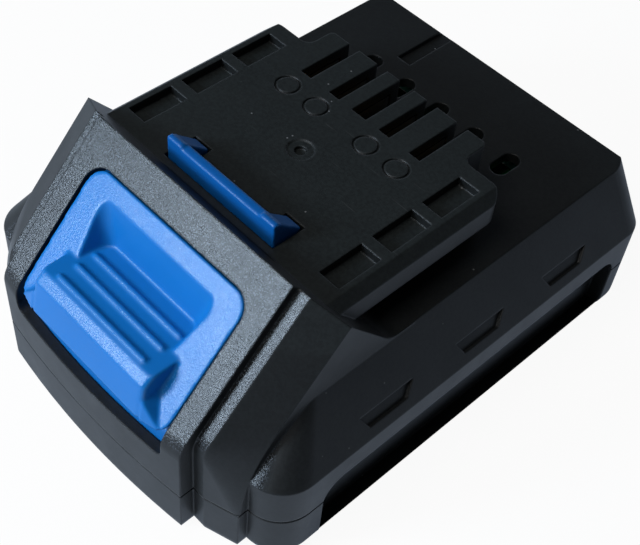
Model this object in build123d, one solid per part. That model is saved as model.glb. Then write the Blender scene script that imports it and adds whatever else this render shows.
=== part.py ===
from build123d import *
import os
from math import atan, cos, degrees, radians, sin, tan

os.makedirs("parts", exist_ok=True)

# Slide-in battery pack for a power tool, in millimetres.
# X is the width, Y runs from the thumb button at the front to the rear, Z is up.
# The origin is at the middle of the underside.

# Whole pack
pack_width = 80.4
pack_length = 105.6
ridge_height = 49.8
ridge_rise = 4.6
ledge_height = 32.9
seam_height = 12.5

# Housing walls
wall = 2.1
floor_thickness = 2.0
channel_wall = 1.9
bottom_edge_radius = 3.5
tongue_width = 0.9
tongue_height = 1.2
tongue_gap = 0.1
seam_groove_height = 0.35
seam_groove_depth = 0.4
edge_radius = 0.5

# Front panel, the sloping face round the thumb button
panel_half_width = 24.1
panel_bow = 1.6
panel_slope = 47.0
panel_bend_radius = 5.3
ridge_setback = 24.1
back_slope = 49.3
back_foot_radius = 4.5
back_foot_length = 6.0

# Strip beside the panel and shoulder outside the strip
strip_width = 2.6
strip_drop = 1.8
strip_setback = 4.4
strip_bend_radius = 6.0
shoulder_width = 6.4
shoulder_drop = 6.1
shoulder_setback = 6.5
shoulder_bend_radius = 30.0

# Corners of the body in plan, at the foot of the side slope and at the ledge
nose_setback = 8.5
nose_radius = 7.3
nose_run = 10.9
ledge_nose_radius = 3.0
rear_corner_radius = 5.9
ledge_rear_radius = 6.5

# Side slope, lip and grip channel
ledge_half_width = 32.9
lip_top = 21.2
lip_bottom = 16.3
channel_depth = 3.2
channel_front_setback = 18.9
channel_rear_setback = 8.0
channel_corner_radius = 4.5
bottom_flange = 1.6
rear_bevel = 2.1
rear_bevel_slope = 45.0
rear_heading = 90.0

# Bare trapezoid recesses on the side slope
recess_count = 3
recess_pitch = 23.3
recess_front_setback = 28.1
recess_long = 12.6
recess_front_lean = 1.4
recess_rear_lean = 2.4
recess_low = 2.1
recess_high = 4.7
recess_depth = 0.6

# Rail tower
rail_half_width = 29.4
rail_thickness = 6.1
rail_chamfer_width = 1.8
rail_chamfer_height = 1.7
rail_rear_setback = 37.4
rail_end_radius = 3.0
web_half_width = 25.5
finger_half_width = 19.6
finger_rear_setback = 31.0
finger_radius = 1.0
scallop_radius = 2.0
scallop_half_width = 22.3

# Deck pockets, marks and dimple
pocket_inner_half = 22.0
pocket_outer_half = 26.5
pocket_length = 9.4
pocket_pitch = 11.8
pocket_front_setback = 31.8
pocket_depth = 1.8
pocket_count = 3
mark_radius = 2.45
mark_ring = 0.4
mark_depth = 0.3
mark_setback = 57.7
dimple_radius = 1.1
dimple_depth = 0.9
dish_radius = 2.6
dish_depth = 0.25
dimple_setback = 48.2

# Contact slots in the deck
slot_inner_place = 6.3
slot_outer_place = 13.7
slot_width = 2.6
middle_slot_width = 3.6
slot_front_setback = 62.2
slot_depth = 11.1

# Oval vents and the groove on the rear ledge
vent_pitch = 9.1
vent_count = 5
vent_width = 3.65
vent_length = 6.8
vent_front_setback = 81.2
groove_left = 16.1
groove_width = 3.3
groove_front_setback = 90.9
groove_depth = 1.0

# Thumb button of the latch
button_half_width = 19.5
button_gap = 0.4
button_top = 6.5
button_corner_radius = 3.6
button_flush = 0.3
button_foot_drop = 24.4
latch_travel = 5.0
opening_foot_gap = 0.1
opening_corner_radius = 1.8
flange_gap = 0.15
flange_thickness = 1.3
flange_reach = 1.8
curtain_drop = 6.8
shelf_drop = 15.9
shelf_half_width = 14.7
shelf_front_setback = 4.1
shelf_wall = 1.7
lip_facet_height = 1.6
lip_facet_reach = 1.8
lip_end_radius = 0.9
skirt_foot_setback = 0.9
gusset_height = 4.1
gusset_foot_setback = 1.85
gusset_tip_height = 0.4
gusset_reach = 3.6
gusset_depth = 5.0
scoop_back_setback = 16.2
scoop_back_half_width = 11.8
scoop_rim_setback = 17.9
scoop_rim_half_width = 15.9
scoop_corner_radius = 2.4
grip_rib_radius = 0.55
grip_rib_half_length = 11.1
grip_rib_setback = 12.5
grip_rib_pitch = 3.6
grip_rib_count = 3

# Latch bar behind the ridge
bar_half_width = 13.35
bar_front_setback = 29.9
bar_thickness = 1.9
bar_rise = 3.9
lug_rise = 4.4
lug_width = 3.55
lug_reach = 4.2
lug_flat = 1.0
lug_keel = 1.7
bar_gap = 0.4
web_drop = 19.6
web_thickness = 2.2
bar_rib_thickness = 1.6
bar_rib_height = 6.0
bar_rib_place = 9.0
guide_thickness = 1.5
guide_depth = 8.0
guide_reach = 1.6

# Return springs
spring_place = 17.2
spring_setback = 7.6
spring_radius = 1.8
spring_wire_radius = 0.3
spring_turns = 6
spring_end_gap = 0.05
spring_seat_height = 11.0
spring_seat_radius = 3.0
spring_post_radius = 1.1
spring_post_height = 2.4
foot_lift = 0.2
foot_thickness = 1.6
foot_depth = 3.1

# Cells
cell_count = 5
cell_radius = 9.0
cell_length = 65.0
cell_pitch = 18.45
cell_rear_gap = 0.25
cell_cap_radius = 4.0
cell_cap_height = 0.35
cell_groove_place = 3.2
cell_groove_width = 1.4
cell_groove_depth = 0.35
cell_edge_radius = 0.5
ring_outer_radius = 8.4
ring_thickness = 0.25

# Cell holders
holder_fit = 0.05
holder_base = 1.0
holder_inner = 23.0
holder_outer = 31.6
holder_end_share = 0.72
post_radius = 2.2
post_height = 2.4
post_inset = 4.2

# Bus strips
strip_thickness = 0.2
strip_height = 8.0
strip_end_length = 4.5
strip_slit_length = 5.0
strip_slit_width = 0.8
tab_width = 4.0
tab_reach = 4.0
tab_lift = 1.0
end_insulator_gap = 0.3
end_insulator_thickness = 0.3
end_insulator_top = 21.2

# Insulating sheet and circuit board
sheet_thickness = 0.25
sheet_margin = 1.0
board_thickness = 1.6
board_half_width = 30.6
board_front_setback = 33.6
board_rear_setback = 15.0
board_corner_radius = 2.0

# Terminal block and fork contacts
block_half_width = 17.2
block_front_gap = 1.8
block_rear_gap = 0.3
block_top_gap = 0.5
block_floor = 3.0
block_slot_extra = 0.2
contact_thickness = 0.4
contact_root_half = 0.85
contact_pinch_half = 0.45
contact_mouth_half = 0.95
contact_root_share = 0.4
contact_pinch_share = 0.78
contact_top_gap = 2.0
contact_front_gap = 0.5
pin_width = 0.8
pin_depth = 1.4
pin_hole_gap = 0.15
pin_tail = 1.0

# Parts on the circuit board
chip_length = 7.0
chip_width = 6.0
chip_height = 1.5
chip_leg = 0.8
transistor_width = 6.5
transistor_length = 6.1
transistor_height = 2.3
transistor_pitch = 9.0
shunt_length = 6.4
shunt_width = 3.2
shunt_height = 0.9
shunt_foot = 1.6
capacitor_radius = 2.0
capacitor_height = 3.5
capacitor_pitch = 5.5
bead_radius = 1.15
bead_length = 4.2
lead_radius = 0.3
lead_pitch = 2.0

# Screws
screw_front_inset = 3.9
screw_front_setback = 15.2
screw_rear_inset = 3.9
screw_rear_setback = 4.8
screw_radius = 1.25
screw_length = 14.0
screw_head_radius = 2.2
screw_head_height = 1.6
screw_recess = 3.2
screw_fit = 0.05
head_fit = 0.2
boss_radius = 2.9
boss_height = 9.0
socket_radius = 0.9
socket_depth = 0.9
board_screw_radius = 0.9
board_screw_length = 5.0
board_screw_head_radius = 1.8
board_screw_head_height = 1.1

# How far a cut runs past the surface that it opens
overrun = 60.0
cut_skin = 1.0

half_width = pack_width / 2
front_y = -pack_length / 2
rear_y = pack_length / 2
ridge_y = front_y + ridge_setback
deck_height = ridge_height - ridge_rise
rail_bottom = deck_height - rail_thickness
slot_floor_height = deck_height - slot_depth
strip_half_width = panel_half_width + strip_width
shoulder_half_width = strip_half_width + shoulder_width
shelf_height = ridge_height - shelf_drop
button_foot_height = ridge_height - button_foot_drop
curtain_foot_height = button_foot_height - curtain_drop
bar_top = deck_height + bar_rise
lug_top = deck_height + lug_rise
web_height = ridge_height - web_drop
foot_height = button_foot_height - foot_lift
side_slope = degrees(atan((ledge_height - lip_top) / (half_width - ledge_half_width)))
finger_rear_y = rear_y - finger_rear_setback
rail_rear_y = rear_y - rail_rear_setback
cell_z = floor_thickness + holder_base + holder_fit + cell_radius
rear_cell_y = rear_y - wall - cell_rear_gap - cell_radius
front_cell_y = rear_cell_y - (cell_count - 1) * cell_pitch
holder_top = cell_z + cell_radius + holder_fit + holder_base
board_bottom = holder_top + post_height
board_top = board_bottom + board_thickness
slot_places = (-slot_outer_place, -slot_inner_place, 0, slot_inner_place, slot_outer_place)
panel_plane = Plane(
    origin=(0, ridge_y, ridge_height),
    x_dir=(1, 0, 0),
    z_dir=(0, -sin(radians(panel_slope)), cos(radians(panel_slope))),
)


def face_of(corners):
    """A flat face from (x, y) or (x, y, corner radius)."""
    points = [corner[:2] for corner in corners]
    radii = [corner[2] if len(corner) > 2 else 0 for corner in corners]
    return make_face(FilletPolyline(*points, radius=radii, close=True))


def upright(corners, low, high):
    """A prism along Z over an outline in X and Y."""
    return extrude(Plane.XY.offset(low) * face_of(corners), high - low)


def crosswise(corners, left, right):
    """A prism along X over an outline in Y and Z."""
    return extrude(Plane.YZ.offset(left) * face_of(corners), right - left)


def block(x_low, x_high, y_low, y_high, z_low, z_high):
    """A plain block between two corners."""
    return crosswise([(y_low, z_low), (y_high, z_low), (y_high, z_high), (y_low, z_high)], x_low, x_high)


def rod(radius, height, x, y, z):
    """An upright cylinder that stands on z."""
    return Pos(x, y, z) * Cylinder(radius, height, align=(Align.CENTER, Align.CENTER, Align.MIN))


def both_sides(part):
    """The piece and its mirror image on the other side of the pack."""
    return part + mirror(part, Plane.YZ)


def above_slope(x, y, z, heading, rise, inset):
    """Everything outside a slope that rises inward from a point, set inward by an inset."""
    out = Vector(cos(radians(heading)), sin(radians(heading)), 0)
    normal = out * sin(radians(rise)) + Vector(0, 0, cos(radians(rise)))
    base = Plane(origin=Vector(x, y, z) - normal * inset, x_dir=(-out.Y, out.X, 0), z_dir=normal)
    outside = Box(2 * overrun, 2 * overrun, overrun, align=(Align.CENTER, Align.CENTER, Align.MIN))
    return base * outside


def slope_height(y, inset):
    """Height of the front panel's plane at y, moved inward by an inset."""
    angle = radians(panel_slope)
    return ridge_height + tan(angle) * (y - ridge_y) - inset / cos(angle)


def back_height(y, inset):
    """Height of the cap's rear plane at y, moved inward by an inset."""
    angle = radians(back_slope)
    return ridge_height - tan(angle) * (y - ridge_y) - inset / cos(angle)


def back_place(z, inset):
    """Where the cap's rear plane passes a height."""
    angle = radians(back_slope)
    return ridge_y + (ridge_height - z - inset / cos(angle)) / tan(angle)


def cap_profile(drop, setback, bend, inset):
    """Side view of the cap: front face, bend, slope, ridge and rear plane."""
    front = front_y + setback + inset
    front_top = slope_height(front, drop + inset)
    steepness = tan(radians(panel_slope)) + tan(radians(back_slope))
    gap = (drop + inset) / cos(radians(panel_slope)) - inset / cos(radians(back_slope))
    top = ridge_y + gap / steepness
    ledge = ledge_height - inset
    foot = back_place(ledge, inset)
    tail = foot + back_foot_length
    return [
        (front, 0),
        (front, front_top, bend),
        (top, back_height(top, inset)),
        (foot, ledge, back_foot_radius + inset),
        (tail, ledge),
        (tail, 0),
    ]


def panel_zone(inset, bend):
    """The middle of the cap, bowed forward in plan."""
    half = panel_half_width - inset
    solid = crosswise(cap_profile(0, 0, 0, inset), -half, half)
    bow_radius = (panel_half_width**2 + panel_bow**2) / (2 * panel_bow) - inset
    centre_y = front_y + inset + bow_radius
    solid = solid & rod(bow_radius, overrun, 0, centre_y, 0)
    if bend:
        front_top = slope_height(front_y + inset, inset)
        nearest = ShapeList(solid.edges()).sort_by_distance((0, front_y + inset, front_top))[0]
        solid = fillet(nearest, bend)
    return solid


def side_zone(inset):
    """Strip and shoulder on the right of the panel."""
    inner = panel_half_width - inset - cut_skin
    strip = cap_profile(strip_drop, strip_setback, strip_bend_radius, inset)
    bend = shoulder_bend_radius - inset
    shoulder = cap_profile(shoulder_drop, shoulder_setback, bend, inset)
    flat = crosswise(strip, inner, strip_half_width)
    edge = Plane.YZ.offset(strip_half_width) * face_of(strip)
    outer = Plane.YZ.offset(shoulder_half_width - inset) * face_of(shoulder)
    return flat + loft([edge, outer], ruled=True)


def body_plan(inset):
    """Plan of the body behind the cap, with round corners."""
    half = half_width - inset
    front = front_y + nose_setback + inset
    rear = rear_y - inset
    nose = nose_radius - inset
    corner = rear_corner_radius - inset
    return face_of([(half, front, nose), (half, rear, corner), (-half, rear, corner), (-half, front, nose)])


def ledge_plan(inset):
    """Plan of the body where the side slopes reach the ledge."""
    rise = radians(side_slope)
    half = ledge_half_width - inset * (1 - cos(rise)) / sin(rise)
    front = front_y + nose_setback + nose_run + inset
    rear = rear_y - inset
    nose = ledge_nose_radius - inset
    corner = ledge_rear_radius - inset
    return face_of([(half, front, nose), (half, rear, corner), (-half, rear, corner), (-half, front, nose)])


def body_zone(inset, low):
    """The body without cap and tower, moved inward by an inset."""
    rise = radians(side_slope)
    knee = lip_top - inset * (1 - sin(rise)) / cos(rise)
    foot = body_plan(inset)
    solid = extrude(Plane.XY.offset(low) * foot, knee - low)
    top = Plane.XY.offset(ledge_height - inset) * ledge_plan(inset)
    solid += loft([Plane.XY.offset(knee) * foot, top], ruled=True)
    return solid - above_slope(0, rear_y, ledge_height - rear_bevel, rear_heading, rear_bevel_slope, inset)


def tower_plan(inset):
    """Plan of the tower's upright walls with the contact fingers at the rear."""
    web = web_half_width - inset
    finger = finger_half_width - inset
    rail_rear = rail_rear_y - inset
    finger_rear = finger_rear_y - inset
    return [
        (-web, ridge_y),
        (web, ridge_y),
        (web, rail_rear),
        (finger, rail_rear, scallop_radius + inset),
        (finger, finger_rear, finger_radius),
        (-finger, finger_rear, finger_radius),
        (-finger, rail_rear, scallop_radius + inset),
        (-web, rail_rear),
    ]


def channel_block(extra):
    """The grip channel's space on the right, made larger all round by an extra."""
    inner = half_width - channel_depth - extra
    y_low = front_y + channel_front_setback - extra
    y_high = rear_y - channel_rear_setback + extra
    corners = [
        (y_low, bottom_flange - extra),
        (y_high, bottom_flange - extra),
        (y_high, lip_bottom + extra, channel_corner_radius),
        (y_low, lip_bottom + extra, channel_corner_radius),
    ]
    return crosswise(corners, inner, half_width + overrun)


def cavity(lining):
    """The hollow inside both housings, made larger by a lining that is under the wall's thickness."""
    inset = wall - lining
    space = body_zone(inset, floor_thickness)
    cap = panel_zone(inset, 0) + both_sides(side_zone(inset))
    cap = cap & block(-half_width, half_width, front_y, rear_y, floor_thickness, ridge_height)
    space += cap
    space += upright(tower_plan(inset), floor_thickness, deck_height - inset)
    return space - both_sides(channel_block(channel_wall - lining))


def slab(low, high):
    """A layer across the whole pack."""
    return block(-overrun, overrun, -2 * overrun, 2 * overrun, low, high)


def screw_spots():
    """The four screw places in plan."""
    front = (half_width - screw_front_inset, front_y + screw_front_setback)
    rear = (half_width - screw_rear_inset, rear_y - screw_rear_setback)
    return [(side * x, y) for x, y in (front, rear) for side in (-1, 1)]


def tongue_ring(gap):
    """The tongue that stands on the lower housing's rim, with a gap all round it."""
    ring = cavity(tongue_width + gap) - cavity(-gap)
    return ring & slab(seam_height, seam_height + tongue_height + gap)


def rail_flange():
    """The right rail: a flange with a chamfered top edge and a round rear end."""
    inner = web_half_width - cut_skin
    top = rail_half_width - rail_chamfer_width
    profile = [
        (inner, rail_bottom),
        (rail_half_width, rail_bottom),
        (rail_half_width, deck_height - rail_chamfer_height),
        (top, deck_height),
        (inner, deck_height),
    ]
    front = Plane.XZ.offset(-ridge_y) * face_of(profile)
    bar = extrude(front, amount=rail_rear_y - ridge_y, dir=(0, 1, 0))
    plan = [
        (scallop_half_width, ridge_y),
        (rail_half_width, ridge_y),
        (rail_half_width, rail_rear_y, rail_end_radius),
        (scallop_half_width, rail_rear_y, edge_radius),
    ]
    return bar & upright(plan, rail_bottom, deck_height)


def deck_cuts():
    """Pockets, round marks, dimple, contact slots and latch notches in the deck."""
    cut = None
    for index in range(pocket_count):
        low = front_y + pocket_front_setback + index * pocket_pitch
        bottom = deck_height - pocket_depth
        pocket = block(pocket_inner_half, pocket_outer_half, low, low + pocket_length, bottom,
                       deck_height + cut_skin)
        cut = pocket if cut is None else cut + pocket
    mark_y = front_y + mark_setback
    for place in (slot_inner_place, slot_outer_place):
        disc = rod(mark_radius, mark_depth + cut_skin, place, mark_y, deck_height - mark_depth)
        core = rod(mark_radius - mark_ring, mark_depth + cut_skin, place, mark_y, deck_height - mark_depth)
        cut += disc - core
    cut = both_sides(cut)
    dimple_y = front_y + dimple_setback
    cut += rod(dimple_radius, dimple_depth + cut_skin, 0, dimple_y, deck_height - dimple_depth)
    on_base = (Align.CENTER, Align.CENTER, Align.MIN)
    dish = Cone(dish_radius - dish_depth, dish_radius, dish_depth, align=on_base)
    cut += Pos(0, dimple_y, deck_height - dish_depth) * dish
    for place in slot_places:
        half = (slot_width if place else middle_slot_width) / 2
        cut += block(place - half, place + half, front_y + slot_front_setback, finger_rear_y + cut_skin,
                     slot_floor_height, deck_height + cut_skin)
    bar_y = front_y + bar_front_setback
    bar_x = bar_half_width + bar_gap
    deck_low = deck_height - wall - cut_skin
    cut += block(-bar_x, bar_x, bar_y - bar_gap, bar_y + bar_thickness + bar_gap, deck_low,
                 deck_height + cut_skin)
    notch_x = bar_half_width - lug_width - bar_gap
    notch_y = bar_y + bar_thickness + lug_reach + bar_gap
    cut += both_sides(block(notch_x, bar_x, bar_y, notch_y, deck_low, deck_height + cut_skin))
    return cut


def ledge_cuts():
    """Oval vents and the groove on the rear ledge."""
    vent_y = front_y + vent_front_setback + vent_length / 2
    cut = None
    for index in range(vent_count):
        x = (index - (vent_count - 1) / 2) * vent_pitch
        oval = Rot(0, 0, 90) * SlotOverall(vent_length, vent_width)
        oval = Pos(x, vent_y, ledge_height - wall - cut_skin) * oval
        vent = extrude(oval, wall + 2 * cut_skin)
        cut = vent if cut is None else cut + vent
    cut += block(-groove_left, groove_width - groove_left, front_y + groove_front_setback, rear_y + cut_skin,
                 ledge_height - groove_depth, ledge_height + cut_skin)
    return cut


def side_recesses():
    """Three shallow trapezoids pressed into the right side slope."""
    rise = radians(side_slope)
    base = Plane(origin=(half_width, 0, lip_top), x_dir=(0, 1, 0), z_dir=(sin(rise), 0, cos(rise)))
    cut = None
    for index in range(recess_count):
        low = front_y + recess_front_setback + index * recess_pitch
        corners = [
            (low + recess_front_lean, recess_low),
            (low + recess_long - recess_rear_lean, recess_low),
            (low + recess_long, recess_high),
            (low, recess_high),
        ]
        face = base.offset(-recess_depth) * face_of(corners)
        pressed = extrude(face, recess_depth + cut_skin)
        cut = pressed if cut is None else cut + pressed
    return cut


def panel_window(half, top, foot, reach, radius, foot_radius):
    """A window through the front panel, from near the ridge down over the bend to the front face."""
    foot_slope = ridge_setback / cos(radians(panel_slope))
    corners = [(-half, -foot_slope), (half, -foot_slope), (half, -top, radius), (-half, -top, radius)]
    slope_part = extrude(panel_plane.offset(-reach) * face_of(corners), reach + shelf_height)
    slope_part = slope_part & slab(foot + foot_radius, 2 * ridge_height)
    face = [
        (-half, foot, foot_radius),
        (half, foot, foot_radius),
        (half, foot + 2 * panel_bend_radius),
        (-half, foot + 2 * panel_bend_radius),
    ]
    deep = cut_skin + reach + panel_bow
    front_part = extrude(Plane.XZ.offset(-front_y + cut_skin) * face_of(face), deep, dir=(0, 1, 0))
    return slope_part + front_part


def latch_guides():
    """Two ribs under the deck that guide the ends of the latch bar."""
    x = bar_half_width + bar_gap
    bar_y = front_y + bar_front_setback
    return both_sides(block(x, x + guide_thickness, bar_y - guide_reach, bar_y + bar_thickness + guide_reach,
                            deck_height - wall - guide_depth, deck_height - wall + cut_skin))


def upper_form():
    """Outer form of the upper housing, solid."""
    solid = body_zone(0, 0)
    solid += panel_zone(0, panel_bend_radius)
    solid += both_sides(side_zone(0))
    solid += upright(tower_plan(0), 0, deck_height)
    solid += both_sides(rail_flange())
    return solid & slab(seam_height, ridge_height + cut_skin)


def upper_housing():
    """Cap, tower, ledge and sides down to the seam."""
    form = upper_form()
    shell = form - cavity(0)
    top = seam_height + boss_height
    for x, y in screw_spots():
        shell += rod(boss_radius, top - seam_height, x, y, seam_height) & form
    shell += latch_guides()
    shell -= tongue_ring(tongue_gap)
    for x, y in screw_spots():
        shell -= rod(screw_radius + screw_fit, boss_height - cut_skin, x, y, seam_height)
    shell -= both_sides(channel_block(0))
    shell -= both_sides(side_recesses())
    shell -= deck_cuts()
    shell -= ledge_cuts()
    foot = button_foot_height - latch_travel - opening_foot_gap
    reach = wall + cut_skin
    shell -= panel_window(button_half_width + button_gap, button_top - button_gap, foot, reach,
                          button_corner_radius + button_gap, opening_corner_radius)
    return shell


def rounded_foot(solid, radius):
    """The solid with its lowest edges rounded."""
    return fillet(solid.edges().group_by(Axis.Z)[0], radius)


def lower_form():
    """Outer form of the lower housing, solid, with a rounded bottom edge."""
    body = extrude(body_plan(0), seam_height)
    panel_block = panel_zone(0, 0) & slab(0, seam_height)
    side = [
        (panel_half_width - cut_skin, front_y + strip_setback),
        (strip_half_width, front_y + strip_setback),
        (shoulder_half_width, front_y + shoulder_setback),
        (shoulder_half_width, ridge_y),
    ]
    side_block = upright(side + [(-x, y) for x, y in reversed(side)], 0, seam_height)
    solid = rounded_foot(body, bottom_edge_radius)
    solid += rounded_foot(panel_block, bottom_edge_radius)
    solid += rounded_foot(side_block, bottom_edge_radius)
    return solid


def lower_housing():
    """Tray with the tongue, the screw bosses and the spring seats."""
    form = lower_form()
    shell = form - cavity(0)
    groove = body_zone(0, 0) + panel_zone(0, 0) + both_sides(side_zone(0))
    core = body_zone(seam_groove_depth, 0) + panel_zone(seam_groove_depth, 0)
    core += both_sides(side_zone(seam_groove_depth))
    shell -= (groove - core) & slab(seam_height - seam_groove_height, seam_height)
    shell += tongue_ring(0)
    for x, y in screw_spots():
        shell += rod(boss_radius, seam_height - floor_thickness, x, y, floor_thickness)
    for x, y in screw_spots():
        shell -= rod(screw_head_radius + head_fit, screw_recess, x, y, 0)
        shell -= rod(screw_radius + screw_fit, seam_height + tongue_height, x, y, 0)
    shell -= both_sides(channel_block(0))
    seat_y = front_y + spring_setback
    seat_rise = spring_seat_height - floor_thickness
    seat = rod(spring_seat_radius, seat_rise, spring_place, seat_y, floor_thickness)
    seat += rod(spring_post_radius, spring_post_height, spring_place, seat_y, spring_seat_height)
    return shell + both_sides(seat)


def scoop_space(extra):
    """The thumb hollow above the shelf, made larger by an extra."""
    low = shelf_height - extra
    high = ridge_height
    front = front_y - shelf_height
    rise = (high - shelf_height) * (scoop_rim_setback - scoop_back_setback) / (deck_height - shelf_height)
    widening = scoop_rim_half_width - scoop_back_half_width
    spread = (high - shelf_height) * widening / (deck_height - shelf_height)
    low_half = scoop_back_half_width + extra
    high_half = scoop_back_half_width + spread + extra
    low_back = front_y + scoop_back_setback + extra
    high_back = front_y + scoop_back_setback + rise + extra
    flare = shelf_half_width - scoop_back_half_width
    front_half = shelf_half_width + extra + flare
    low_face = [
        (-low_half, low_back, scoop_corner_radius),
        (-front_half, front),
        (front_half, front),
        (low_half, low_back, scoop_corner_radius),
    ]
    high_face = [
        (-high_half, high_back, scoop_corner_radius),
        (-front_half - spread, front),
        (front_half + spread, front),
        (high_half, high_back, scoop_corner_radius),
    ]
    foot = Plane.XY.offset(low) * face_of(low_face)
    top = Plane.XY.offset(high) * face_of(high_face)
    return loft([foot, top], ruled=True)


def shelf_block(inset):
    """The shelf under the thumb with its lip and its skirt, set inward by an inset."""
    shelf_front = front_y + shelf_front_setback
    lip_front = shelf_front - lip_facet_reach
    corners = [
        (front_y + scoop_back_setback - inset, shelf_height - inset),
        (shelf_front + inset, shelf_height - inset),
        (lip_front + inset, shelf_height - lip_facet_height - inset),
        (front_y + skirt_foot_setback + inset, button_foot_height),
        (front_y + wall + flange_thickness, button_foot_height),
    ]
    half = shelf_half_width - inset
    solid = crosswise(corners, -half, half)
    if inset:
        return solid
    ends = solid.faces().filter_by(Axis.X)
    front = [edge for face in ends for edge in face.edges() if edge.center().Y < shelf_front]
    return fillet(front, lip_end_radius)


def skirt_gusset():
    """Web that runs the right side of the skirt out into the button's rim."""
    foot = front_y + skirt_foot_setback
    run = shelf_front_setback - lip_facet_reach - skirt_foot_setback
    lean = run / (shelf_height - lip_facet_height - button_foot_height)
    rear = front_y + gusset_depth
    high = button_foot_height + gusset_height
    root = [
        (foot, button_foot_height),
        (foot + gusset_height * lean, high),
        (rear, high),
        (rear, button_foot_height),
    ]
    tip_low = front_y + gusset_foot_setback
    tip_high = button_foot_height + gusset_tip_height
    tip = [
        (tip_low, button_foot_height),
        (tip_low + gusset_tip_height * lean, tip_high),
        (rear, tip_high),
        (rear, button_foot_height),
    ]
    root_face = Plane.YZ.offset(shelf_half_width) * face_of(root)
    tip_face = Plane.YZ.offset(shelf_half_width + gusset_reach) * face_of(tip)
    return loft([root_face, tip_face], ruled=True)


def grip_ribs():
    """Half-round ribs across the shelf."""
    ribs = None
    for index in range(grip_rib_count):
        y = front_y + grip_rib_setback - index * grip_rib_pitch
        bar = Pos(0, y, shelf_height) * (Rot(0, 90, 0) * Cylinder(grip_rib_radius, 2 * grip_rib_half_length))
        ends = Pos(grip_rib_half_length, y, shelf_height) * Sphere(grip_rib_radius)
        bar += both_sides(ends)
        ribs = bar if ribs is None else ribs + bar
    return ribs


def latch_bar():
    """Bar behind the ridge with a hooked lug at each end, and the web that carries it."""
    low = front_y + bar_front_setback
    high = low + bar_thickness
    bar = block(-bar_half_width, bar_half_width, low, high, web_height, bar_top)
    lug = [
        (low, bar_top - lug_keel),
        (high, deck_height - lug_keel),
        (high + lug_reach, deck_height - lug_keel),
        (high + lug_reach, deck_height),
        (low + lug_flat, lug_top),
        (low, lug_top),
    ]
    bar += both_sides(crosswise(lug, bar_half_width - lug_width, bar_half_width))
    scoop_rear = front_y + scoop_back_setback
    bar += block(-bar_half_width, bar_half_width, scoop_rear - shelf_wall, high, web_height,
                 web_height + web_thickness)
    rib = [
        (low - bar_rib_height, web_height),
        (low + edge_radius, web_height),
        (low + edge_radius, web_height + web_thickness + bar_rib_height),
    ]
    half = bar_rib_thickness / 2
    return bar + both_sides(crosswise(rib, bar_rib_place - half, bar_rib_place + half))


def spring_foot():
    """Pad and post on the right of the latch that press on the return spring."""
    y = front_y + spring_setback
    pad_front = front_y + wall + flange_gap + panel_bow
    pad = block(shelf_half_width - shelf_wall, button_half_width, pad_front, y + foot_depth, foot_height,
                foot_height + foot_thickness)
    post_foot = foot_height - spring_post_height
    return pad + rod(spring_post_radius, spring_post_height, spring_place, y, post_foot)


def release_latch():
    """Thumb button, flange, web, bar and spring feet, one moulding."""
    depth = wall + flange_gap + flange_thickness
    outer = panel_zone(button_flush, panel_bend_radius - button_flush)
    skin = outer - panel_zone(depth, 0)
    skin = skin & panel_window(button_half_width, button_top, button_foot_height, depth + cut_skin,
                               button_corner_radius, opening_corner_radius)
    flange = panel_zone(wall + flange_gap, 0) - panel_zone(depth, 0)
    flange = flange & panel_window(button_half_width + flange_reach, button_top - flange_reach,
                                   curtain_foot_height, depth + cut_skin, button_corner_radius, edge_radius)
    latch = skin + flange + both_sides(skirt_gusset())
    latch += scoop_space(shelf_wall) & panel_zone(wall, 0) & slab(shelf_height - shelf_wall, ridge_height)
    latch += shelf_block(0)
    latch -= scoop_space(0)
    latch -= shelf_block(shelf_wall)
    latch += grip_ribs()
    latch += latch_bar()
    return latch + both_sides(spring_foot())


def latch_spring(side):
    """Round-wire return spring between its seat and the latch foot."""
    low = spring_seat_height + spring_end_gap + spring_wire_radius
    length = foot_height - spring_seat_height - 2 * (spring_end_gap + spring_wire_radius)
    path = Helix(pitch=length / spring_turns, height=length, radius=spring_radius)
    start = Plane(origin=path @ 0, z_dir=path % 0)
    coil = sweep(start * Circle(spring_wire_radius), path=path)
    return Pos(side * spring_place, front_y + spring_setback, low) * coil


def battery_cell(index):
    """Cell with a crimp groove at its plus end, lying across the pack."""
    can_end = cell_length / 2 - cell_cap_height
    start = -cell_length / 2
    groove = can_end - cell_groove_place
    profile = [
        (start, 0),
        (start, cell_radius, cell_edge_radius),
        (groove - cell_groove_width / 2, cell_radius),
        (groove, cell_radius - cell_groove_depth),
        (groove + cell_groove_width / 2, cell_radius),
        (can_end, cell_radius, cell_edge_radius),
        (can_end, cell_cap_radius),
        (can_end + cell_cap_height, cell_cap_radius),
        (can_end + cell_cap_height, 0),
    ]
    solid = revolve(Plane.XZ * face_of(profile), Axis.X)
    turn = 0 if index % 2 == 0 else 180
    return Pos(0, front_cell_y + index * cell_pitch, cell_z) * (Rot(0, 0, turn) * solid)


def insulator_rings():
    """A thin ring on each plus end, under the bus strip."""
    rings = None
    can_end = cell_length / 2 - cell_cap_height
    for index in range(cell_count):
        side = 1 if index % 2 == 0 else -1
        ring = Cylinder(ring_outer_radius, ring_thickness)
        ring -= Cylinder(cell_cap_radius + holder_fit, ring_thickness)
        place = Pos(side * (can_end + ring_thickness / 2), front_cell_y + index * cell_pitch, cell_z)
        ring = place * (Rot(0, 90, 0) * ring)
        rings = ring if rings is None else rings + ring
    return rings


def board_posts():
    """Places of the four posts that carry the circuit board."""
    x = board_half_width - post_inset
    low = front_y + board_front_setback + post_inset
    high = rear_y - board_rear_setback - post_inset
    return [(side * x, y) for y in (low, high) for side in (-1, 1)]


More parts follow.
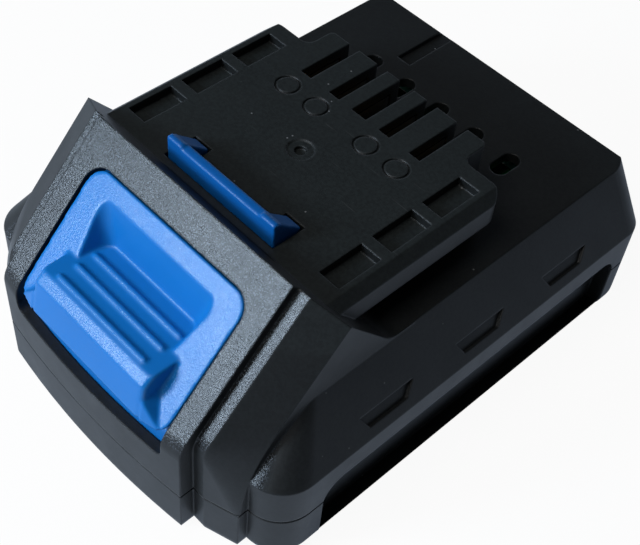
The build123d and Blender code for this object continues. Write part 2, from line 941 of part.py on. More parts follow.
def cell_holder(side):
    """Comb that grips one end of all the cells and carries the board's posts."""
    reach = cell_radius * holder_end_share
    frame = block(holder_inner, holder_outer, front_cell_y - reach, rear_cell_y + reach, floor_thickness,
                  holder_top)
    for index in range(cell_count):
        y = front_cell_y + index * cell_pitch
        bore = Rot(0, 90, 0) * Cylinder(cell_radius + holder_fit, 2 * overrun)
        frame -= Pos(0, y, cell_z) * bore
    frame = frame if side > 0 else mirror(frame, Plane.YZ)
    for x, y in board_posts():
        if x * side > 0:
            frame += rod(post_radius, post_height, x, y, holder_top)
    for x, y in board_posts():
        if x * side > 0:
            deep = board_screw_length - board_thickness + screw_fit
            frame -= rod(board_screw_radius + screw_fit, deep, x, y, board_bottom - deep)
    return frame


def bus_strip(number):
    """Metal strip across one or two cell ends, with a tab that reaches onto the board."""
    side = 1 if number % 2 == 0 else -1
    first = number - 1
    last = number
    low = front_cell_y + max(first, 0) * cell_pitch - strip_end_length
    high = front_cell_y + min(last, cell_count - 1) * cell_pitch + strip_end_length
    x = cell_length / 2
    half = strip_height / 2
    board_low = front_y + board_front_setback + tab_width
    board_high = rear_y - board_rear_setback - tab_width
    tab_y = min(max((low + high) / 2, board_low), board_high)
    tab_half = tab_width / 2
    strip = block(x, x + strip_thickness, low, high, cell_z - half, cell_z + half)
    for cell in {max(first, 0), min(last, cell_count - 1)}:
        y = front_cell_y + cell * cell_pitch
        slit = strip_slit_width / 2
        long = strip_slit_length / 2
        strip -= block(x - cut_skin, x + cut_skin, y - long, y + long, cell_z - slit, cell_z + slit)
    top = board_top + strip_thickness
    middle = (low + high) / 2
    arm_low = min(tab_y, middle) - tab_half
    arm_high = max(tab_y, middle) + tab_half
    arm_bottom = cell_z + half + tab_lift
    strip += block(x, x + strip_thickness, middle - tab_half, middle + tab_half, cell_z + half, arm_bottom)
    strip += block(x, x + strip_thickness, arm_low, arm_high, arm_bottom, arm_bottom + tab_half)
    strip += block(x, x + strip_thickness, tab_y - tab_half, tab_y + tab_half, arm_bottom, top)
    strip += block(x - tab_reach, x + strip_thickness, tab_y - tab_half, tab_y + tab_half, board_top, top)
    return strip if side > 0 else mirror(strip, Plane.YZ)


def end_insulator(side):
    """Thin sheet between the bus strips and the side of the housing."""
    x = cell_length / 2 + strip_thickness + end_insulator_gap
    reach = cell_radius * holder_end_share
    sheet = block(x, x + end_insulator_thickness, front_cell_y - reach / 2, rear_cell_y + reach / 2,
                  floor_thickness, end_insulator_top)
    return sheet if side > 0 else mirror(sheet, Plane.YZ)


def insulating_sheet():
    """Sheet over the cells, with holes for the board posts and the temperature bead."""
    half = holder_outer - sheet_margin
    sheet = block(-half, half, front_cell_y, rear_cell_y, holder_top, holder_top + sheet_thickness)
    for x, y in board_posts():
        sheet -= rod(post_radius + holder_fit, cut_skin, x, y, holder_top)
    hole = bead_length / 2 + sheet_margin
    bead_y = front_cell_y + (cell_count // 2) * cell_pitch
    half_depth = bead_radius + sheet_margin
    high = holder_top + cut_skin
    return sheet - block(-hole, hole, bead_y - half_depth, bead_y + half_depth, holder_top, high)


def thermistor():
    """Bead on the middle cell with two leads up to the board."""
    y = front_cell_y + (cell_count // 2) * cell_pitch
    bottom = cell_z + cell_radius + screw_fit
    bead = Pos(0, y, bottom + bead_radius) * (Rot(0, 90, 0) * Cylinder(bead_radius, bead_length))
    lead = rod(lead_radius, board_bottom - bottom - bead_radius, lead_pitch / 2, y, bottom + bead_radius)
    return bead + both_sides(lead)


def board_place():
    """Front and rear edge of the circuit board."""
    return front_y + board_front_setback, rear_y - board_rear_setback


def circuit_board():
    """Board on the holder posts, with screw holes and contact pin holes."""
    low, high = board_place()
    half = board_half_width
    radius = board_corner_radius
    corners = [(-half, low, radius), (half, low, radius), (half, high, radius), (-half, high, radius)]
    board = upright(corners, board_bottom, board_top)
    for x, y in board_posts():
        board -= rod(board_screw_radius + screw_fit, board_thickness, x, y, board_bottom)
    for place in slot_places:
        board -= contact_pin(place, pin_hole_gap)
    return board


def contact_span():
    """Front and rear of the fork contacts."""
    return front_y + slot_front_setback + contact_front_gap, finger_rear_y - wall - block_rear_gap


def contact_pin(place, gap):
    """Square pin under a fork contact, made larger by a gap."""
    y, _ = contact_span()
    half_x = pin_width / 2 + gap
    half_y = pin_depth / 2 + gap
    return block(place - half_x, place + half_x, y - half_y, y + half_y, board_bottom - pin_tail - gap,
                 board_top + block_floor)


def fork_contact(place):
    """Hairpin of two leaves that pinch near the mouth."""
    root, mouth = contact_span()
    length = mouth - root
    knee = root + length * contact_root_share
    pinch = root + length * contact_pinch_share
    side = [
        (contact_mouth_half, mouth),
        (contact_pinch_half, pinch),
        (contact_root_half, knee),
        (contact_root_half, root),
    ]
    points = side + [(-x, y) for x, y in reversed(side)]
    low = board_top + block_floor
    high = deck_height - wall - contact_top_gap
    leaves = extrude(Plane.XY.offset(low) * trace(Polyline(*points), contact_thickness), high - low)
    return Pos(place, 0, 0) * leaves + contact_pin(place, 0)


def terminal_block():
    """Plastic block behind the deck slots, with a slot for each fork contact."""
    low = front_y + slot_front_setback - block_front_gap
    high = finger_rear_y - wall - block_rear_gap
    top = deck_height - wall - block_top_gap
    solid = block(-block_half_width, block_half_width, low, high, board_top, top)
    for place in slot_places:
        half = (slot_width if place else middle_slot_width) / 2 + block_slot_extra / 2
        front = front_y + slot_front_setback
        solid -= block(place - half, place + half, front, high + cut_skin, board_top + block_floor,
                       top + cut_skin)
        solid -= contact_pin(place, pin_hole_gap)
    return solid


def controller_chip():
    """Flat chip with its rows of legs as one edge step."""
    low, _ = board_place()
    y = low + post_inset + chip_width
    leg_reach = chip_width / 2 + chip_leg
    legs = block(-chip_length / 2, chip_length / 2, y - leg_reach, y + leg_reach, board_top,
                 board_top + strip_thickness)
    body = block(-chip_length / 2, chip_length / 2, y - chip_width / 2, y + chip_width / 2, board_top,
                 board_top + chip_height)
    return legs + body


def power_transistors():
    """Two power transistors beside the terminal block."""
    _, high = board_place()
    y = high - post_inset - transistor_length / 2
    body = block(0, transistor_width, y - transistor_length / 2, y + transistor_length / 2, board_top,
                 board_top + transistor_height)
    return both_sides(Pos(transistor_pitch - transistor_width, 0, 0) * body)


def current_shunt():
    """Low metal bridge that measures the current."""
    low, _ = board_place()
    y = low + post_inset + chip_width
    x = block_half_width
    foot = shunt_foot
    bridge = block(x, x + shunt_length, y, y + shunt_width, board_top + shunt_height / 2,
                   board_top + shunt_height)
    bridge += block(x, x + foot, y, y + shunt_width, board_top, board_top + shunt_height)
    return bridge + block(x + shunt_length - foot, x + shunt_length, y, y + shunt_width, board_top,
                          board_top + shunt_height)


def board_capacitors():
    """Two round capacitors on the left of the chip."""
    low, _ = board_place()
    y = low + post_inset + chip_width
    caps = rod(capacitor_radius, capacitor_height, -block_half_width, y, board_top)
    return caps + rod(capacitor_radius, capacitor_height, capacitor_pitch - block_half_width, y, board_top)


def screw(radius, length, head_radius, head_height):
    """Pan-head screw, head down, with a round driver socket."""
    solid = rod(radius, length, 0, 0, 0) + rod(head_radius, head_height, 0, 0, -head_height)
    return solid - rod(socket_radius, socket_depth, 0, 0, -head_height)


def housing_screws():
    """Four screws that hold the housings together from below."""
    screws = None
    for x, y in screw_spots():
        one = screw(screw_radius, screw_length, screw_head_radius, screw_head_height)
        one = Pos(x, y, screw_recess) * one
        screws = one if screws is None else screws + one
    return screws


def board_screws():
    """Four screws that hold the board on the holder posts."""
    screws = None
    for x, y in board_posts():
        one = screw(board_screw_radius, board_screw_length, board_screw_head_radius, board_screw_head_height)
        one = Pos(x, y, board_top) * (Rot(180, 0, 0) * one)
        screws = one if screws is None else screws + one
    return screws


def save(name, part):
    """Writes one piece and prints how many solids it has."""
    print(name, len(part.solids()), "solids")
    export_step(part, f"parts/{name}.step")


save("upper_housing", upper_housing())
save("lower_housing", lower_housing())
save("release_latch", release_latch())
save("latch_spring_left", latch_spring(-1))
save("latch_spring_right", latch_spring(1))
for cell_index in range(cell_count):
    save(f"cell_{cell_index + 1}", battery_cell(cell_index))
save("insulator_rings", insulator_rings())
save("cell_holder_left", cell_holder(-1))
save("cell_holder_right", cell_holder(1))
for strip_index in range(cell_count + 1):
    save(f"bus_strip_{strip_index + 1}", bus_strip(strip_index))
save("end_insulator_left", end_insulator(-1))
save("end_insulator_right", end_insulator(1))
save("insulating_sheet", insulating_sheet())
save("circuit_board", circuit_board())
save("terminal_block", terminal_block())
for contact_index, contact_place in enumerate(slot_places):
    save(f"contact_{contact_index + 1}", fork_contact(contact_place))
save("thermistor", thermistor())
save("controller_chip", controller_chip())
save("power_transistors", power_transistors())
save("current_shunt", current_shunt())
save("board_capacitors", board_capacitors())
save("housing_screws", housing_screws())
save("board_screws", board_screws())
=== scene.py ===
import bpy
from mathutils import Matrix, Vector


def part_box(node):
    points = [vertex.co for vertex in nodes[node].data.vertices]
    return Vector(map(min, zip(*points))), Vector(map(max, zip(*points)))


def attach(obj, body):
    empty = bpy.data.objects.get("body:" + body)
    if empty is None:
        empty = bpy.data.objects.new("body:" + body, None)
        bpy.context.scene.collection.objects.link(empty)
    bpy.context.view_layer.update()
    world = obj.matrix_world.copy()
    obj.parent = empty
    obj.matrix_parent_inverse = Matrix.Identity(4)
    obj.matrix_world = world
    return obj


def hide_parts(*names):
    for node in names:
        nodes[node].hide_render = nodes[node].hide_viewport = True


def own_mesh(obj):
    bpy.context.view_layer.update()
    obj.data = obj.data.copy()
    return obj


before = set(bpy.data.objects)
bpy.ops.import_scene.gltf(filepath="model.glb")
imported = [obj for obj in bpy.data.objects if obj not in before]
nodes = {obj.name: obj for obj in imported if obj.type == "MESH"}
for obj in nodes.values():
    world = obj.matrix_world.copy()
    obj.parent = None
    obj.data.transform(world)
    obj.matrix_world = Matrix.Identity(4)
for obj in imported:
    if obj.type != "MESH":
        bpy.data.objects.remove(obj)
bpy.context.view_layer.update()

# Lengths are in metres and powers in watts.
# A noise is given as its scale in cells per metre, its detail and its roughness.
# A mask goes from 0 at its first number to 1 at its second.
# Tones are the darkest and the lightest colour of a surface.
white = (1.0, 1.0, 1.0, 1.0)

# Camera, fitted to the photograph, with its lens and sensor in millimetres
lens = 67.21
sensor = 36.0
near_clip = 0.005
camera_place = (0.10258, -0.11129, 0.18810)
camera_right = (0.68457, 0.72526, 0.07329)
camera_up = (-0.58894, 0.49104, 0.64190)
camera_back = (0.42955, -0.48258, 0.76328)

# Lamps
key_direction = (-0.36, -0.82, 0.44)
key_distance = 0.75
key_size = 0.22
key_power = 5.6
key_tint = (0.66, 0.82, 1.0)
fill_place = (-0.08, -0.45, 0.78)
fill_size = 0.5
fill_power = 3.9
fill_tint = (1.0, 1.0, 1.0)

# Room. Its light goes from full at a mask's first number to the share at its second.
world_strength = 0.38
ceiling_mask = (0.02, 0.42)
ceiling_share = 0.05
shade_mask = (-0.2, 0.7)
shade_share = 0.25
room_tint = (0.80, 0.93, 1.12, 1.0)

# Floor
floor_half = 2.5
floor_drop = -0.0001
floor_cloud = (4.0, 2.0, 0.5)
floor_greys = (0.80, 0.84)
floor_white_share = 0.94
floor_gloss_share = 0.36
floor_shine = (0.70, 0.90, 1.22, 1.0)

# Mouldings
fine_grain = (3600.0, 2.0, 0.5)
fine_depth = 0.00002
spark_depth = 0.00007
# Grain of the painted glints: light specks painted into the colour
painted_glint_grain = (3800.0, 1.0, 0.5)
edge_softness = 0.0005
edge_samples = 6

# Black housing
black_tones = ((0.003, 0.00324, 0.0033, 1.0), (0.00782, 0.00918, 0.00918, 1.0))
black_specular = 0.33
black_spark = (3200.0, 4.0, 0.65)
black_fine_strength = 0.2
upward_mask = (0.3, 0.8)
upward_fine_strength = 0.5
mottle_noise = (1500.0, 3.0, 0.7)
mottle_mask = (0.35, 0.65)
mottle_share = 0.6
cloud_noise = (60.0, 3.0, 0.5)
cloud_share = 0.4
# Painted glints on the front slope: mask and colour of the painted highlights
black_painted_glint_mask = (0.52, 0.68)
black_painted_glint_tone = (0.0528, 0.06, 0.0708, 1.0)
black_rough_noise = (150.0, 4.0, 0.6)
black_roughness = 0.36
black_roughness_spread = 0.16
upward_roughness_change = 0.08
slope_roughness_change = -0.29

# The black housing's front slope: how far its faces look across, forward and up, and where it starts
slope_masks = {
    "across": (0.35, 0.2),
    "forward": (-0.25, -0.5),
    "up": (0.25, 0.5),
    "place": (-0.020, -0.024),
}

# Deck of the black housing, with scratches
deck_mask = (0.0405, 0.0420)
deck_share = 0.8
deck_tones = ((0.00602, 0.00756, 0.00742, 1.0), (0.01462, 0.01836, 0.01802, 1.0))
scratch_turn = (0.0, 0.0, -0.9)
scratch_stretch = (90.0, 2600.0, 90.0)
scratch_noise = (1.0, 2.0, 0.5)
scratch_mask = (0.715, 0.745)
scratch_share = 0.25
scratch_grey = 0.07

# Dust on the black housing
dust_scale = 260.0
dust_mask = (0.055, 0.03)
dust_choice = (90.0, 1.0, 0.5)
dust_threshold = 0.53
dust_share = 0.6
dust_grey = 0.22

# Blue latch
blue_tones = ((0.0015, 0.122, 0.385, 1.0), (0.003, 0.145, 0.45, 1.0))
blue_specular = 0.30
blue_cloud = (90.0, 3.0, 0.5)
blue_spark = (3200.0, 3.0, 0.6)
blue_spark_strength = 0.8
blue_fine_strength = 0.12
rim_masks = {"forward": (-0.5, -0.62), "up": (0.5, 0.62)}
# Painted glints on the rim: mask, share and colour of the painted highlights
blue_painted_glint_mask = (0.56, 0.70)
blue_painted_glint_share = 0.4
blue_painted_glint_tone = (0.10, 0.36, 0.66, 1.0)
# Painted shade on the bar: where it starts, its share and its dark colour
bar_shade_mask = (-0.0270, -0.0262)
bar_shade_share = 0.5
bar_shade_tone = (0.001, 0.044, 0.21, 1.0)
blue_rough_noise = (180.0, 4.0, 0.5)
blue_roughness = 0.36
blue_roughness_spread = 0.12
rim_roughness_change = -0.14

# Shape of the latch moulding, and its room above the springs
latch_voxel = 0.00026
latch_smooth_steps = 6
latch_smooth_factor = 0.5
latch_spring_room = 0.0005
latch_face_share = 0.5

# Plain plastics
plastic_cloud = (80.0, 3.0, 0.5)
plastic_grain_detail = 3.0
plastic_grain_roughness = 0.6
plastic_grain_strength = 0.4
plastic_rough_noise = (200.0, 3.0, 0.5)
plastic_roughness_spread = 0.15

# Metals
metal_cloud = (220.0, 3.0, 0.5)
metal_lines = (900.0, 3.0, 0.6)
metal_line_strength = 0.25
metal_roughness_spread = 0.2

# Circuit board
board_tones = ((0.006, 0.060, 0.022, 1.0), (0.012, 0.105, 0.036, 1.0))
track_scale = 160.0
track_randomness = 0.15
track_mask = (0.36, 0.42)
track_strength = 0.5
board_rough_noise = (300.0, 2.0, 0.5)
board_roughness = 0.22
board_roughness_spread = 0.15

# Cells
sleeve_tones = ((0.03, 0.17, 0.13, 1.0), (0.045, 0.23, 0.17, 1.0))
sleeve_stretch = (0.3, 1.0, 1.0)
sleeve_noise = (500.0, 2.0, 0.5)
sleeve_strength = 0.3
sleeve_roughness = 0.24
sleeve_roughness_spread = 0.12
sleeve_end = 0.03205
can_grey = 0.55

# Paper and sheets
fibre_noise = (1400.0, 5.0, 0.7)
fibre_strength = 0.6
fibre_roughness = (0.7, 0.95)


def place_camera():
    data = bpy.data.cameras.new("camera")
    data.lens = lens
    data.sensor_width = sensor
    data.clip_start = near_clip
    camera = bpy.data.objects.new("camera", data)
    columns = (camera_right, camera_up, camera_back, camera_place)
    rows = [[column[i] for column in columns] for i in range(3)]
    camera.matrix_world = Matrix(rows + [[0, 0, 0, 1]])
    bpy.context.scene.collection.objects.link(camera)
    bpy.context.scene.camera = camera


def area_light(name, place, size, power, tint):
    """Round lamp that shines at the middle of the object's underside."""
    data = bpy.data.lights.new(name, "AREA")
    data.shape = "DISK"
    data.size = size
    data.energy = power
    data.color = tint
    light = bpy.data.objects.new(name, data)
    light.location = place
    light.rotation_euler = Vector(place).to_track_quat("Z", "Y").to_euler()
    bpy.context.scene.collection.objects.link(light)


class Tree:
    """A node tree under construction."""

    def __init__(self, tree):
        self.tree = tree
        tree.nodes.clear()

    def add(self, kind, inputs=None, **settings):
        node = self.tree.nodes.new(kind)
        for key, value in settings.items():
            setattr(node, key, value)
        for key, value in (inputs or {}).items():
            self.feed(node.inputs[key], value)
        return node

    def feed(self, socket, value):
        if isinstance(value, bpy.types.NodeSocket):
            self.tree.links.new(value, socket)
        else:
            socket.default_value = value

    def math(self, operation, *values, clamp=False):
        node = self.add("ShaderNodeMath", operation=operation, use_clamp=clamp)
        for socket, value in zip(node.inputs, values):
            self.feed(socket, value)
        return node.outputs[0]

    def times(self, a, b):
        return self.math("MULTIPLY", a, b)

    def plus_share(self, start, share, value):
        """The start plus a share of the value."""
        return self.math("MULTIPLY_ADD", value, share, start)

    def ramp(self, value, limits, low=0.0, high=1.0):
        start, end = limits
        inputs = {"Value": value, "From Min": start, "From Max": end, "To Min": low, "To Max": high}
        return self.add("ShaderNodeMapRange", inputs, interpolation_type="SMOOTHSTEP").outputs["Result"]

    def blend(self, factor, a, b):
        node = self.add("ShaderNodeMix", data_type="RGBA")
        self.feed(node.inputs["Factor"], factor)
        self.feed(node.inputs["A"], a)
        self.feed(node.inputs["B"], b)
        return node.outputs["Result"]

    def split(self, vector):
        parts = self.add("ShaderNodeSeparateXYZ", {"Vector": vector})
        return parts.outputs["X"], parts.outputs["Y"], parts.outputs["Z"]

    def noise(self, where, scale, detail, roughness):
        inputs = {"Vector": where, "Scale": scale, "Detail": detail, "Roughness": roughness}
        return self.add("ShaderNodeTexNoise", inputs).outputs["Fac"]

    def stretch(self, where, scale, turn=(0.0, 0.0, 0.0)):
        inputs = {"Vector": where, "Rotation": turn, "Scale": scale}
        return self.add("ShaderNodeMapping", inputs).outputs["Vector"]

    def bump(self, height, depth, strength, normal=None):
        inputs = {"Height": height, "Distance": depth, "Strength": strength}
        if normal is not None:
            inputs["Normal"] = normal
        return self.add("ShaderNodeBump", inputs).outputs["Normal"]

    def soft_edges(self):
        return self.add("ShaderNodeBevel", {"Radius": edge_softness}, samples=edge_samples).outputs["Normal"]

    def mix_shaders(self, factor, a, b):
        return self.add("ShaderNodeMixShader", {0: factor, 1: a, 2: b}).outputs[0]

    def finish(self, shader, kind="ShaderNodeOutputMaterial"):
        self.add(kind, {"Surface": shader})

    def finish_plain(self, **sockets):
        inputs = {key.replace("_", " "): value for key, value in sockets.items()}
        self.finish(self.add("ShaderNodeBsdfPrincipled", inputs).outputs["BSDF"])


def new_material(name):
    """A material, its tree, and the place and the normal on the object."""
    material = bpy.data.materials.new(name)
    material.use_nodes = True
    tree = Tree(material.node_tree)
    where = tree.add("ShaderNodeTexCoord")
    return material, tree, where.outputs["Object"], where.outputs["Normal"]


def grey(value, tint=(1.0, 1.0, 1.0)):
    return tuple(value * part for part in tint) + (1.0,)


def seen_directly(tree, path):
    """1 for rays from the camera and rays that went through something, otherwise 0."""
    return tree.math("MAXIMUM", path["Is Camera Ray"], path["Is Transmission Ray"])


def front_slope(tree, where, normal):
    """1 on the sloping front of the black housing, 0 elsewhere."""
    facing_x, facing_y, facing_z = tree.split(normal)
    slope = tree.times(tree.ramp(facing_y, slope_masks["forward"]), tree.ramp(facing_z, slope_masks["up"]))
    slope = tree.times(slope, tree.ramp(tree.split(where)[1], slope_masks["place"]))
    return tree.times(slope, tree.ramp(tree.math("ABSOLUTE", facing_x), slope_masks["across"]))


def dust_specks(tree, where, upward):
    """1 on a few small specks of upward faces, 0 elsewhere."""
    specks = tree.add("ShaderNodeTexVoronoi", {"Vector": where, "Scale": dust_scale, "Randomness": 1.0})
    specks = tree.ramp(specks.outputs["Distance"], dust_mask)
    chosen = tree.math("GREATER_THAN", tree.noise(where, *dust_choice), dust_threshold)
    return tree.times(tree.times(specks, chosen), upward)


def black_housing():
    """Black plastic: coarse spark texture with painted glints on the front slope, fine grain elsewhere.

    The deck is a little lighter, with faint scratches.
    """
    material, tree, where, normal = new_material("black_housing")
    slope = front_slope(tree, where, normal)
    upward = tree.ramp(tree.split(normal)[2], upward_mask)
    deck = tree.times(upward, tree.ramp(tree.split(where)[2], deck_mask))

    fine_strength = tree.plus_share(black_fine_strength, upward_fine_strength, upward)
    surface = tree.bump(tree.noise(where, *fine_grain), fine_depth, fine_strength, tree.soft_edges())
    surface = tree.bump(tree.noise(where, *black_spark), spark_depth, slope, surface)

    shade = tree.times(tree.noise(where, *cloud_noise), cloud_share)
    shade = tree.plus_share(shade, mottle_share, tree.ramp(tree.noise(where, *mottle_noise), mottle_mask))
    colour = tree.blend(shade, *black_tones)
    colour = tree.blend(tree.times(deck, deck_share), colour, tree.blend(shade, *deck_tones))
    along = tree.stretch(where, scratch_stretch, scratch_turn)
    scratches = tree.times(tree.ramp(tree.noise(along, *scratch_noise), scratch_mask), deck)
    colour = tree.blend(tree.times(scratches, scratch_share), colour, grey(scratch_grey))
    # Painted highlight: bright glint specks painted into the colour of the front slope
    painted_glints = tree.ramp(tree.noise(where, *painted_glint_grain), black_painted_glint_mask)
    colour = tree.blend(tree.times(painted_glints, slope), colour, black_painted_glint_tone)
    dust = dust_specks(tree, where, upward)
    colour = tree.blend(tree.times(dust, dust_share), colour, grey(dust_grey))

    rough = tree.plus_share(black_roughness, black_roughness_spread, tree.noise(where, *black_rough_noise))
    rough = tree.plus_share(rough, upward_roughness_change, upward)
    rough = tree.plus_share(rough, slope_roughness_change, slope)
    tree.finish_plain(Base_Color=colour, Roughness=rough, Normal=surface, Specular_IOR_Level=black_specular)
    return material


def blue_latch():
    """Blue plastic with painted shade on the bar: spark texture with painted glints on rim and lip, smooth
    in the scoop.
    """
    material, tree, where, normal = new_material("blue_latch")
    _, facing_y, facing_z = tree.split(normal)
    rim = tree.times(tree.ramp(facing_y, rim_masks["forward"]), tree.ramp(facing_z, rim_masks["up"]))
    bar_shade = tree.ramp(tree.split(where)[1], bar_shade_mask)

    surface = tree.bump(tree.noise(where, *fine_grain), fine_depth, blue_fine_strength, tree.soft_edges())
    spark_strength = tree.times(rim, blue_spark_strength)
    surface = tree.bump(tree.noise(where, *blue_spark), spark_depth, spark_strength, surface)

    colour = tree.blend(tree.noise(where, *blue_cloud), *blue_tones)
    # Painted highlight: pale glint specks painted into the colour of the rim and lip
    painted_glints = tree.times(tree.ramp(tree.noise(where, *painted_glint_grain), blue_painted_glint_mask), rim)
    colour = tree.blend(tree.times(painted_glints, blue_painted_glint_share), colour, blue_painted_glint_tone)
    # Painted shade: the bar's colour is darkened
    colour = tree.blend(tree.times(bar_shade, bar_shade_share), colour, bar_shade_tone)

    rough = tree.plus_share(blue_roughness, blue_roughness_spread, tree.noise(where, *blue_rough_noise))
    rough = tree.plus_share(rough, rim_roughness_change, rim)
    tree.finish_plain(Base_Color=colour, Roughness=rough, Normal=surface, Specular_IOR_Level=blue_specular)
    return material


def plain_plastic(name, tones, grain_scale, roughness):
    """Moulded plastic with fine grain and slight colour variation."""
    material, tree, where, _ = new_material(name)
    grain = tree.noise(where, grain_scale, plastic_grain_detail, plastic_grain_roughness)
    surface = tree.bump(grain, fine_depth, plastic_grain_strength)
    colour = tree.blend(tree.noise(where, *plastic_cloud), *tones)
    rough = tree.plus_share(roughness, plastic_roughness_spread, tree.noise(where, *plastic_rough_noise))
    tree.finish_plain(Base_Color=colour, Roughness=rough, Normal=surface)
    return material


def metal(name, tones, roughness, brush):
    """Metal with fine drawn lines, stretched by the brush along x, y and z, and slight colour variation."""
    material, tree, where, _ = new_material(name)
    lines = tree.noise(tree.stretch(where, brush), *metal_lines)
    surface = tree.bump(lines, fine_depth, metal_line_strength)
    colour = tree.blend(tree.noise(where, *metal_cloud), *tones)
    rough = tree.plus_share(roughness, metal_roughness_spread, lines)
    tree.finish_plain(Base_Color=colour, Roughness=rough, Normal=surface, Metallic=1.0)
    return material


def circuit_green():
    """Lacquered board with a faint pattern of tracks under the green."""
    material, tree, where, _ = new_material("board_green")
    inputs = {"Vector": where, "Scale": track_scale, "Randomness": track_randomness}
    tracks = tree.add("ShaderNodeTexVoronoi", inputs, distance="CHEBYCHEV")
    edge = tree.ramp(tracks.outputs["Distance"], track_mask)
    colour = tree.blend(edge, *board_tones)
    surface = tree.bump(edge, fine_depth, track_strength)
    rough = tree.plus_share(board_roughness, board_roughness_spread, tree.noise(where, *board_rough_noise))
    tree.finish_plain(Base_Color=colour, Roughness=rough, Normal=surface)
    return material


def cell_sleeve():
    """Shrunk sleeve on the can, bare metal on the two end faces."""
    material, tree, where, _ = new_material("cell_sleeve")
    end = tree.math("GREATER_THAN", tree.math("ABSOLUTE", tree.split(where)[0]), sleeve_end)
    wrap = tree.noise(tree.stretch(where, sleeve_stretch), *sleeve_noise)
    colour = tree.blend(end, tree.blend(wrap, *sleeve_tones), grey(can_grey))
    surface = tree.bump(wrap, fine_depth, sleeve_strength)
    rough = tree.plus_share(sleeve_roughness, sleeve_roughness_spread, wrap)
    tree.finish_plain(Base_Color=colour, Roughness=rough, Normal=surface, Metallic=end)
    return material


def paper(name, tones):
    """Pressed fibre sheet."""
    material, tree, where, _ = new_material(name)
    fibres = tree.noise(where, *fibre_noise)
    colour = tree.blend(fibres, *tones)
    surface = tree.bump(fibres, fine_depth, fibre_strength)
    rough = tree.ramp(fibres, (0.0, 1.0), *fibre_roughness)
    tree.finish_plain(Base_Color=colour, Roughness=rough, Normal=surface)
    return material


def studio_world():
    """White for the camera. Light and reflections come from a room with a dim ceiling and right side."""
    world = bpy.data.worlds.new("studio")
    bpy.context.scene.world = world
    world.use_nodes = True
    tree = Tree(world.node_tree)
    across, _, up = tree.split(tree.add("ShaderNodeTexCoord").outputs["Generated"])
    room = tree.ramp(up, ceiling_mask, 1.0, ceiling_share)
    room = tree.times(room, tree.ramp(across, shade_mask, 1.0, shade_share))
    path = tree.add("ShaderNodeLightPath").outputs
    seen = seen_directly(tree, path)
    level = tree.plus_share(world_strength, 1.0 - world_strength, path["Is Glossy Ray"])
    unseen = tree.times(tree.times(room, level), tree.math("SUBTRACT", 1.0, seen))
    strength = tree.math("ADD", unseen, seen)
    colour = tree.blend(seen, room_tint, white)
    background = tree.add("ShaderNodeBackground", {"Color": colour, "Strength": strength})
    tree.finish(background.outputs[0], "ShaderNodeOutputWorld")


def floor_material():
    """Pale matte floor that the camera sees almost white, and that is clear from below."""
    material, tree, where, _ = new_material("floor")
    tone = tree.blend(tree.noise(where, *floor_cloud), *[grey(value) for value in floor_greys])
    matte = tree.add("ShaderNodeBsdfDiffuse", {"Color": tone}).outputs[0]
    path = tree.add("ShaderNodeLightPath").outputs
    shine = tree.blend(path["Is Glossy Ray"], white, floor_shine)
    bright = tree.add("ShaderNodeEmission", {"Color": shine, "Strength": 1.0}).outputs[0]
    share = tree.times(seen_directly(tree, path), floor_white_share)
    share = tree.math("MULTIPLY_ADD", path["Is Glossy Ray"], floor_gloss_share, share, clamp=True)
    above = tree.mix_shaders(share, matte, bright)
    clear = tree.add("ShaderNodeBsdfTransparent", {"Color": white}).outputs[0]
    below = tree.add("ShaderNodeNewGeometry").outputs["Backfacing"]
    tree.finish(tree.mix_shaders(below, above, clear))
    return material


def floor():
    """Plain pale floor just under the object."""
    mesh = bpy.data.meshes.new("floor")
    corners = [(x * floor_half, y * floor_half, floor_drop) for x, y in ((-1, -1), (1, -1), (1, 1), (-1, 1))]
    mesh.from_pydata(corners, [], [(0, 1, 2, 3)])
    mesh.materials.append(floor_material())
    plane = bpy.data.objects.new("floor", mesh)
    bpy.context.scene.collection.objects.link(plane)


def copy_of(node, name):
    """A new piece with a copy of a CAD node's mesh."""
    piece = bpy.data.objects.new(name, nodes[node].data.copy())
    bpy.context.scene.collection.objects.link(piece)
    return piece


def coat(thing, material):
    """Gives a material to a piece or a CAD node, in place of what it has."""
    thing.data.materials.clear()
    thing.data.materials.append(material)


def settle(piece):
    """Puts the outcome of a piece's modifiers into its mesh."""
    solved = piece.evaluated_get(bpy.context.evaluated_depsgraph_get())
    mesh = bpy.data.meshes.new_from_object(solved)
    piece.modifiers.clear()
    piece.data = mesh


def soften_latch():
    """Latch with the rounded edges of a moulding, in place of the sharp CAD one.

    Below the tops of the springs it keeps its shape, so that it stays clear of them.
    """
    piece = copy_of("release_latch", "latch_moulding")
    remesh = piece.modifiers.new("remesh", "REMESH")
    remesh.mode = "VOXEL"
    remesh.voxel_size = latch_voxel
    remesh.use_smooth_shade = True
    settle(piece)
    spring_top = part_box("latch_spring_left")[1][2] + latch_spring_room
    outside = [vertex.index for vertex in piece.data.vertices if vertex.co.z > spring_top]
    piece.vertex_groups.new(name="outside").add(outside, 1.0, "REPLACE")
    smooth = piece.modifiers.new("smooth", "SMOOTH")
    smooth.factor = latch_smooth_factor
    smooth.iterations = latch_smooth_steps
    smooth.vertex_group = "outside"
    lighter = piece.modifiers.new("lighter", "DECIMATE")
    lighter.ratio = latch_face_share
    settle(piece)
    piece.vertex_groups.clear()
    coat(piece, blue_latch())
    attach(piece, "latch")
    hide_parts("release_latch")


def return_spring(side, steel):
    """Latch spring as a piece of its own, fixed to the housing."""
    node = "latch_spring_" + side
    piece = copy_of(node, "return_spring_" + side)
    coat(piece, steel)
    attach(piece, "housing")
    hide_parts(node)
    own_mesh(piece)


def dress(material, names):
    """Gives a material to CAD nodes by name."""
    for name in names:
        coat(nodes[name], material)


cells = [f"cell_{number}" for number in range(1, 6)]
strips = [f"bus_strip_{number}" for number in range(1, 7)]
contacts = [f"contact_{number}" for number in range(1, 6)]
end_insulators = ["end_insulator_left", "end_insulator_right"]

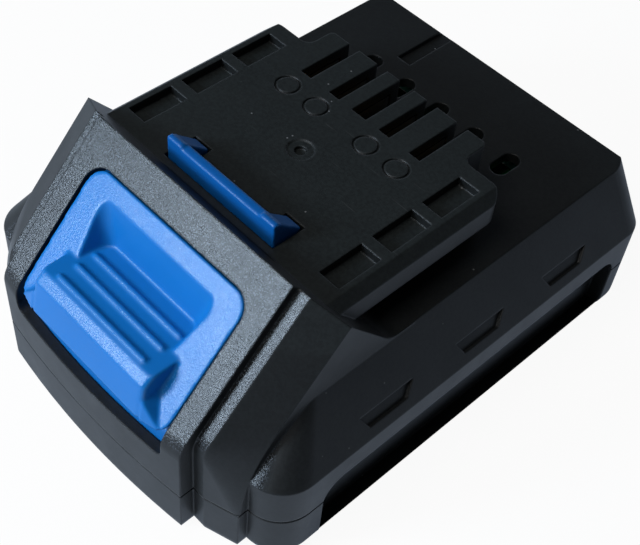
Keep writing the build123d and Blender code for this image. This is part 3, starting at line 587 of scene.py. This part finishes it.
brass_tones = ((0.62, 0.44, 0.19, 1.0), (0.75, 0.55, 0.26, 1.0))
screw_tones = (grey(0.30), grey(0.44, (1.0, 0.99, 0.96)))
nickel_tones = [grey(value, (1.0, 0.97, 0.9)) for value in (0.52, 0.66)]
shunt_tones = [grey(value, (1.0, 0.93, 0.84)) for value in (0.45, 0.55)]
can_tones = (grey(0.6), grey(0.74, (1.0, 1.0, 1.03)))
paper_tones = [grey(value, (1.0, 0.98, 0.93)) for value in (0.62, 0.78)]
sheet_tones = [grey(value, (0.95, 1.0, 0.97)) for value in (0.26, 0.34)]

# Material, tones, roughness, brush
spring_steel = ("spring_steel", (grey(0.42), grey(0.58)), 0.22, (1.0, 1.0, 0.2))

# Material, tones, roughness, brush, nodes
metals = [
    ("screw_steel", screw_tones, 0.3, (1.0, 1.0, 1.0), ["housing_screws", "board_screws"]),
    ("nickel", nickel_tones, 0.24, (1.0, 0.15, 1.0), strips),
    ("contact_brass", brass_tones, 0.24, (1.0, 1.0, 0.15), contacts),
    ("shunt_metal", shunt_tones, 0.3, (0.2, 1.0, 1.0), ["current_shunt"]),
    ("capacitor_can", can_tones, 0.2, (1.0, 1.0, 0.2), ["board_capacitors"]),
]

# Material, tones, nodes
papers = [
    ("white_paper", paper_tones, ["insulator_rings"]),
    ("grey_sheet", sheet_tones, ["insulating_sheet"] + end_insulators),
]

# Material, tones, scale of the grain, roughness, nodes
plastics = [
    ("holder_plastic", (grey(0.035), grey(0.055)), 2500.0, 0.42, ["cell_holder_left", "cell_holder_right"]),
    ("block_plastic", (grey(0.014), grey(0.024)), 2500.0, 0.4, ["terminal_block"]),
    ("chip_black", (grey(0.018), grey(0.03)), 3000.0, 0.45, ["controller_chip", "power_transistors"]),
    ("bead_black", (grey(0.02), grey(0.035)), 1500.0, 0.2, ["thermistor"]),
]

place_camera()
area_light("key", tuple(part * key_distance for part in key_direction), key_size, key_power, key_tint)
area_light("fill", fill_place, fill_size, fill_power, fill_tint)
studio_world()
floor()

dress(black_housing(), ["upper_housing", "lower_housing"])
soften_latch()
steel = metal(*spring_steel)
return_spring("left", steel)
return_spring("right", steel)
dress(cell_sleeve(), cells)
dress(circuit_green(), ["circuit_board"])
for *look, names in metals:
    dress(metal(*look), names)
for *look, names in papers:
    dress(paper(*look), names)
for *look, names in plastics:
    dress(plain_plastic(*look), names)

bpy.context.scene.view_settings.view_transform = "Standard"
